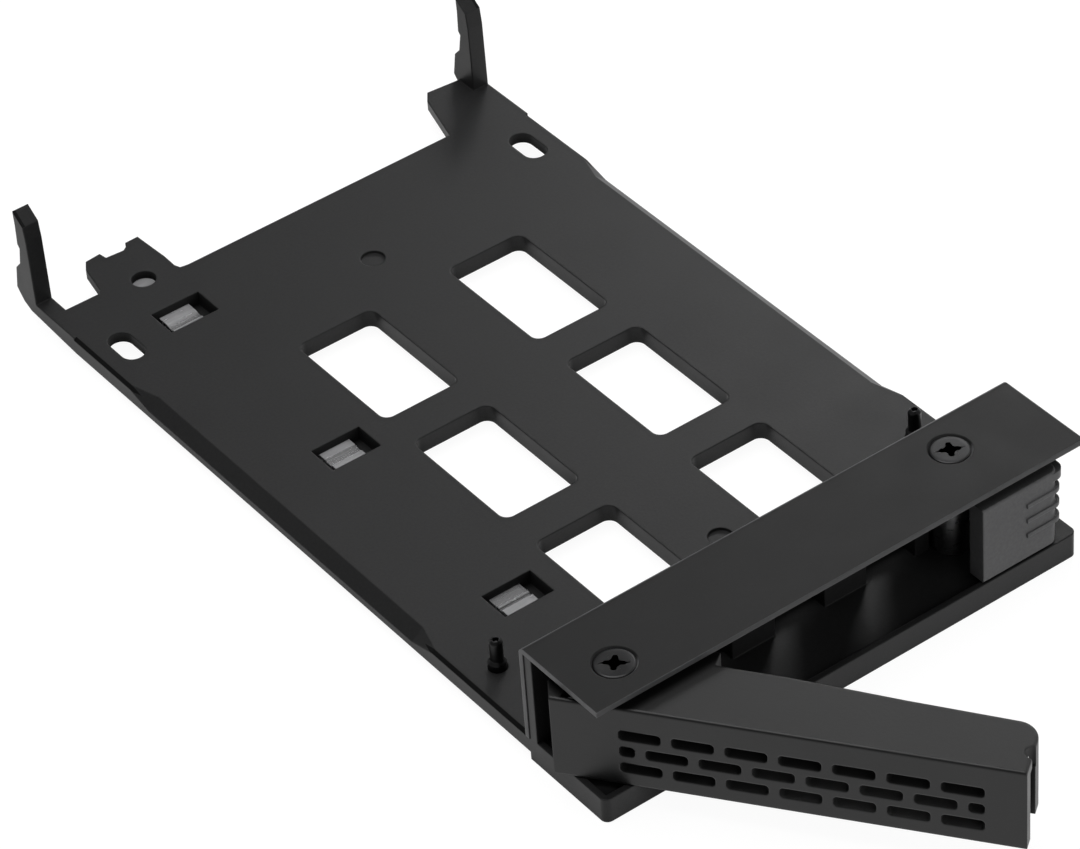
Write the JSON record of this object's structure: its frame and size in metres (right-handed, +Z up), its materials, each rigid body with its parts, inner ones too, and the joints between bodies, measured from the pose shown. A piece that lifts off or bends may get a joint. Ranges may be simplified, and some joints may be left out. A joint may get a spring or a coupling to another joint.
{
  "type": "drive tray",
  "caption": "Empty tray for a 2.5-inch drive: windowed plastic plate, sheet-metal front cover, perforated swing-out lever, release button and locating pins.",
  "frame": {"origin": "middle of the rear pair of drive slots, on the face the drive sits on", "axes": "+X to the right seen from the lever end, +Y towards the connector end, +Z up out of the drive seat"},
  "size_m": [0.0716, 0.156, 0.0168],
  "materials": {
    "tray_plastic": "fine texture, matte",
    "cover_paint": "matte black coat",
    "screw_black": "black zinc",
    "post_steel": "turned",
    "lever_plastic": "fine texture, matte",
    "button_plastic": "matte",
    "spring_steel": "drawn wire",
    "clear_plastic": "clear, polished",
    "pin_steel": "black oxide"
  },
  "bodies": {
    "tray": {"tray_plate": "tray_plastic", "cover_bracket": "cover_paint", "cover_screw_left": "screw_black", "cover_screw_right": "screw_black", "hinge_post": "post_steel", "cover_post": "post_steel", "handle_spring": "spring_steel", "button_spring": "spring_steel", "light_pipe": "clear_plastic", "locating_pin_left": "pin_steel", "locating_pin_right": "pin_steel"},
    "lever": {"handle": "lever_plastic"},
    "button": {"release_button": "button_plastic"}
  },
  "joints": [
    {"name": "handle_hinge", "type": "hinge", "parent": "tray", "child": "lever", "pos_m": [-0.02861, -0.09644, 0.0058], "axis": [0, 0, -1], "range_deg": [-53.5, 26.5], "stiffness_Nm_per_rad": 0.003, "deforming": ["handle_spring"]},
    {"name": "button_slide", "type": "slide", "parent": "tray", "child": "button", "axis": [1, 0, 0], "range_m": [0, 0.002], "stiffness_N_per_m": 150, "deforming": ["button_spring"]}
  ]
}
